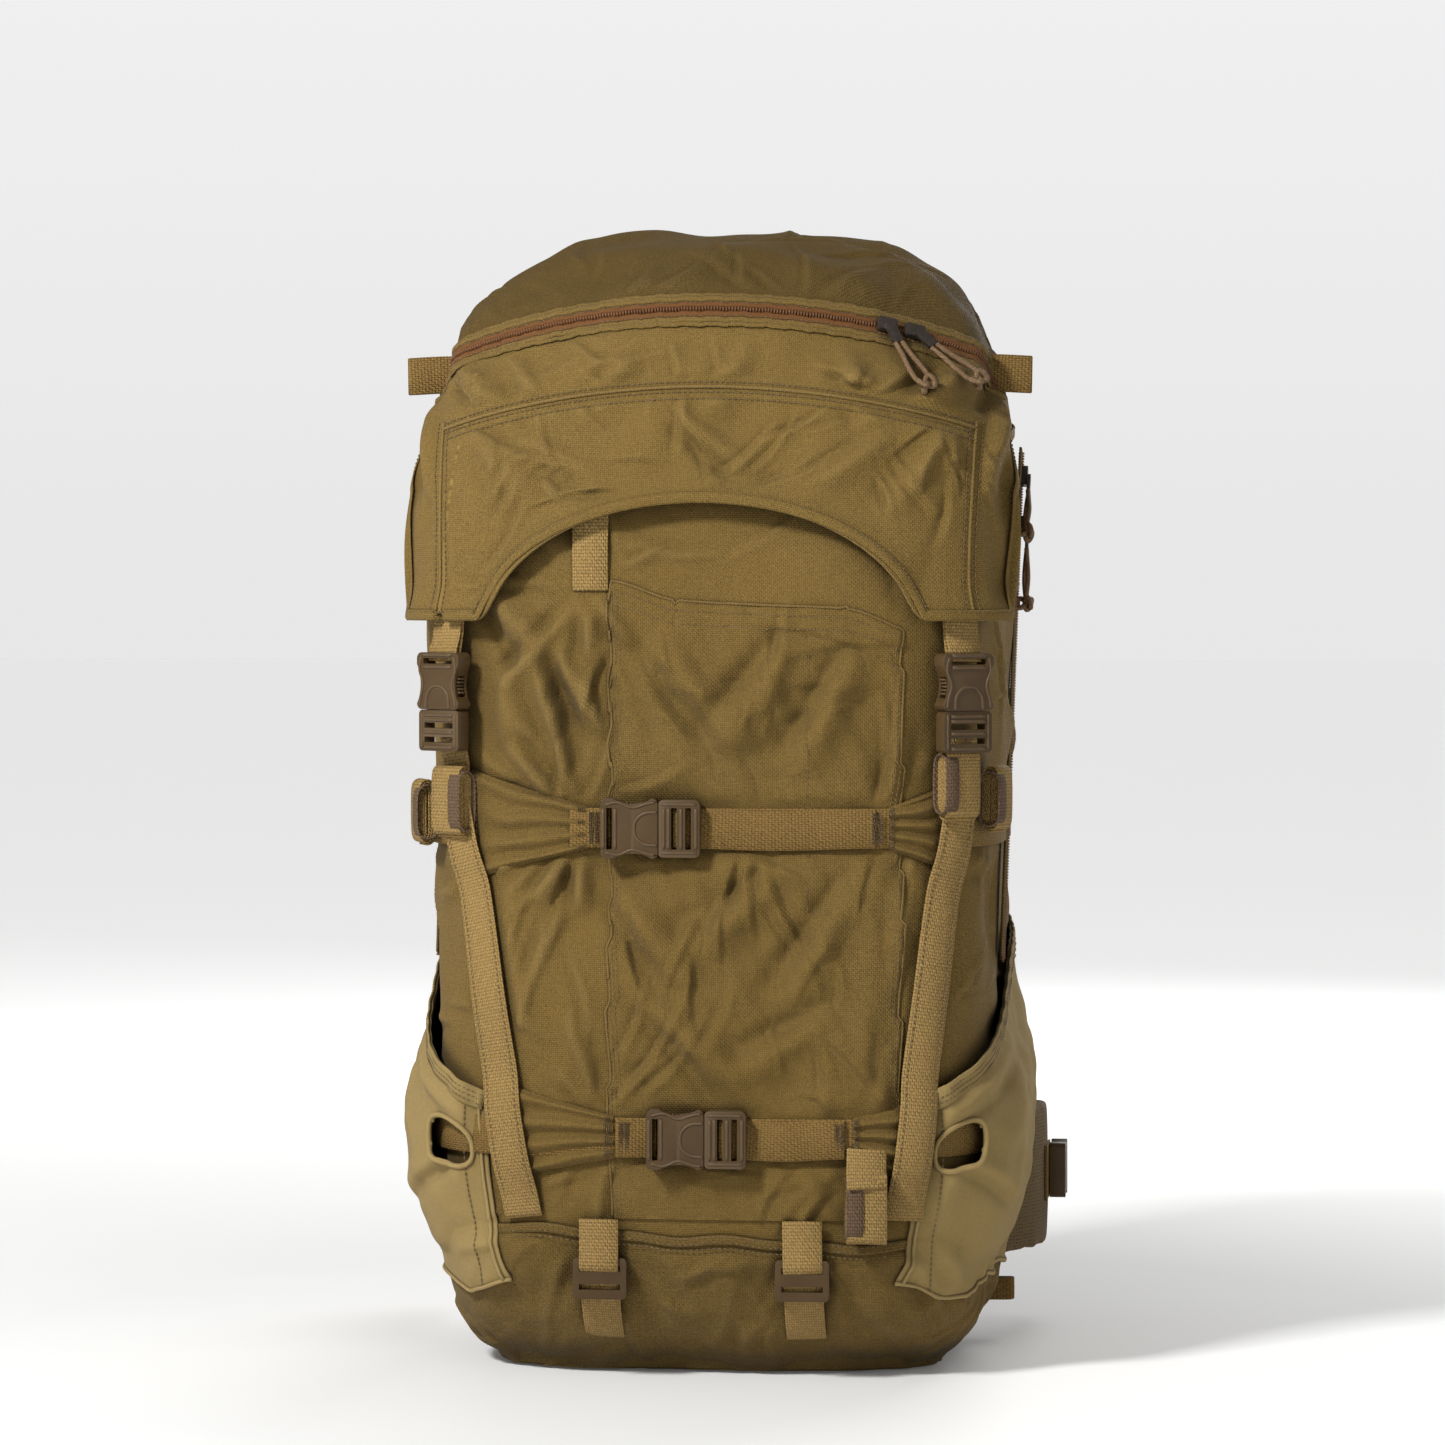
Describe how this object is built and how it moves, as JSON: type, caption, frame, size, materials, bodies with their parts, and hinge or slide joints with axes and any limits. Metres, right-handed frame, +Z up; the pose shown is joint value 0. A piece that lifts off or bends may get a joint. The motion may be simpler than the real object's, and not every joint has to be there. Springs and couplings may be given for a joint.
{
  "type": "hunting backpack",
  "caption": "Tall top-loading pack with a lift-off domed lid, corner buckle straps, compression straps, side zips, stretch pockets, waist belt and shoulder harness.",
  "frame": {"origin": "middle of the bounding box, on the floor the pack stands on", "axes": "+Z up, the front of the pack faces -Y, the wearer's back is at +Y, +X to the right seen from the front"},
  "size_m": [0.4222, 0.4566, 0.73],
  "materials": {
    "pack_cloth": "woven pack cloth",
    "panel_cloth": "woven pack cloth",
    "base_cloth": "heavy woven cloth",
    "stretch_cloth": "stretch woven cloth",
    "lid_cloth": "woven pack cloth",
    "lining": "thin coated cloth",
    "webbing": "ribbed webbing",
    "zip_tape": "coil zip",
    "cord": "braided cord",
    "moulding": "moulded",
    "frame_board": "moulded sheet",
    "stay_metal": "bare",
    "pad_cloth": "mesh over foam"
  },
  "bodies": {
    "pack": {"back_pad": "pad_cloth", "bag_shell": "pack_cloth", "base_ladder_locks": "moulding", "base_panel": "base_cloth", "base_webbing": "webbing", "collar": "lining", "collar_drawcord": "cord", "cord_lock_barrel": "moulding", "frame_sheet": "frame_board", "frame_stays": "stay_metal", "front_pocket": "panel_cloth", "harness_locks": "moulding", "harness_straps": "webbing", "left_shoulder_strap": "pad_cloth", "left_stretch_pocket": "stretch_cloth", "lid_buckle_males": "moulding", "lower_buckle_female": "moulding", "lower_strap": "webbing", "lumbar_pad": "pad_cloth", "mid_buckle_female": "moulding", "mid_strap": "webbing", "right_shoulder_strap": "pad_cloth", "right_stretch_pocket": "stretch_cloth", "side_loops": "webbing", "side_zips": "zip_tape", "strap_rolls": "webbing", "strap_wings": "panel_cloth", "upright_straps": "webbing", "yoke": "pad_cloth"},
    "lid": {"lid_shell": "lid_cloth", "lid_zip": "zip_tape", "lid_tabs": "webbing", "lid_straps": "webbing", "lid_buckle_females": "moulding"},
    "lid_slider_1": {"lid_zip_slider_1": "moulding", "lid_zip_cord_1": "cord"},
    "lid_slider_2": {"lid_zip_slider_2": "moulding", "lid_zip_cord_2": "cord"},
    "right_slider_lower": {"right_zip_slider_lower": "moulding", "right_zip_cord_lower": "cord"},
    "right_slider_upper": {"right_zip_slider_upper": "moulding", "right_zip_cord_upper": "cord"},
    "left_slider": {"left_zip_slider": "moulding", "left_zip_cord": "cord"},
    "mid_male": {"mid_buckle_male": "moulding"},
    "lower_male": {"lower_buckle_male": "moulding"},
    "sternum": {"sternum_webbing": "webbing", "sternum_clips": "moulding", "sternum_buckle_female": "moulding"},
    "sternum_male": {"sternum_buckle_male": "moulding"},
    "right_belt": {"right_belt_wing": "pad_cloth", "right_belt_webbing": "webbing", "right_belt_buckle_female": "moulding"},
    "left_belt": {"left_belt_wing": "pad_cloth", "left_belt_webbing": "webbing", "left_belt_buckle_male": "moulding"},
    "haul": {"haul_loop": "webbing"},
    "lock_button": {"cord_lock_button": "moulding"}
  },
  "joints": [
    {"name": "lid_lift", "type": "slide", "parent": "pack", "child": "lid", "axis": [0, 0, 1], "range_m": [0, 0.19]},
    {"name": "lid_zip_slide_1", "type": "hinge", "parent": "lid", "child": "lid_slider_1", "pos_m": [0, 0.07841, 0.51802], "axis": [0, 0.5299, 0.848], "range_deg": [-54, 4]},
    {"name": "lid_zip_slide_2", "type": "hinge", "parent": "lid", "child": "lid_slider_2", "pos_m": [0, 0.07841, 0.51802], "axis": [0, 0.5299, 0.848], "range_deg": [-54, 4]},
    {"name": "right_zip_slide_lower", "type": "slide", "parent": "pack", "child": "right_slider_lower", "axis": [-0.0199, -0.2932, -0.9558], "range_m": [0, 0.225]},
    {"name": "right_zip_slide_upper", "type": "slide", "parent": "pack", "child": "right_slider_upper", "axis": [-0.0199, -0.2932, -0.9558], "range_m": [0, 0.225]},
    {"name": "left_zip_slide", "type": "slide", "parent": "pack", "child": "left_slider", "axis": [0.0199, -0.2932, -0.9558], "range_m": [0, 0.24]},
    {"name": "mid_buckle_release", "type": "slide", "parent": "pack", "child": "mid_male", "axis": [1, 0, 0], "range_m": [0, 0.032]},
    {"name": "lower_buckle_release", "type": "slide", "parent": "pack", "child": "lower_male", "axis": [1, 0, 0], "range_m": [0, 0.032]},
    {"name": "sternum_height", "type": "slide", "parent": "pack", "child": "sternum", "axis": [0, 0.1136, 0.9935], "range_m": [-0.045, 0.045]},
    {"name": "sternum_release", "type": "slide", "parent": "sternum", "child": "sternum_male", "axis": [-1, 0, 0], "range_m": [0, 0.032]},
    {"name": "right_belt_swing", "type": "hinge", "parent": "pack", "child": "right_belt", "pos_m": [0.108, 0.099, 0.096], "axis": [0, 0, 1], "range_deg": [-14, 55]},
    {"name": "left_belt_swing", "type": "hinge", "parent": "pack", "child": "left_belt", "pos_m": [-0.108, 0.099, 0.096], "axis": [0, 0, -1], "range_deg": [-14, 55]},
    {"name": "haul_loop_swing", "type": "hinge", "parent": "pack", "child": "haul", "pos_m": [0, 0.1061, 0.552], "axis": [1, 0, 0], "range_deg": [0, 165]},
    {"name": "cord_lock_press", "type": "slide", "parent": "pack", "child": "lock_button", "axis": [0, 0, -1], "range_m": [0, 0.004], "stiffness_N_per_m": 300, "springref_m": -0.003}
  ],
  "couplings": [
    {"joint": "lid_zip_slide_2", "follows": "lid_zip_slide_1", "ratio": 1},
    {"joint": "right_zip_slide_upper", "follows": "right_zip_slide_lower", "ratio": 1}
  ]
}
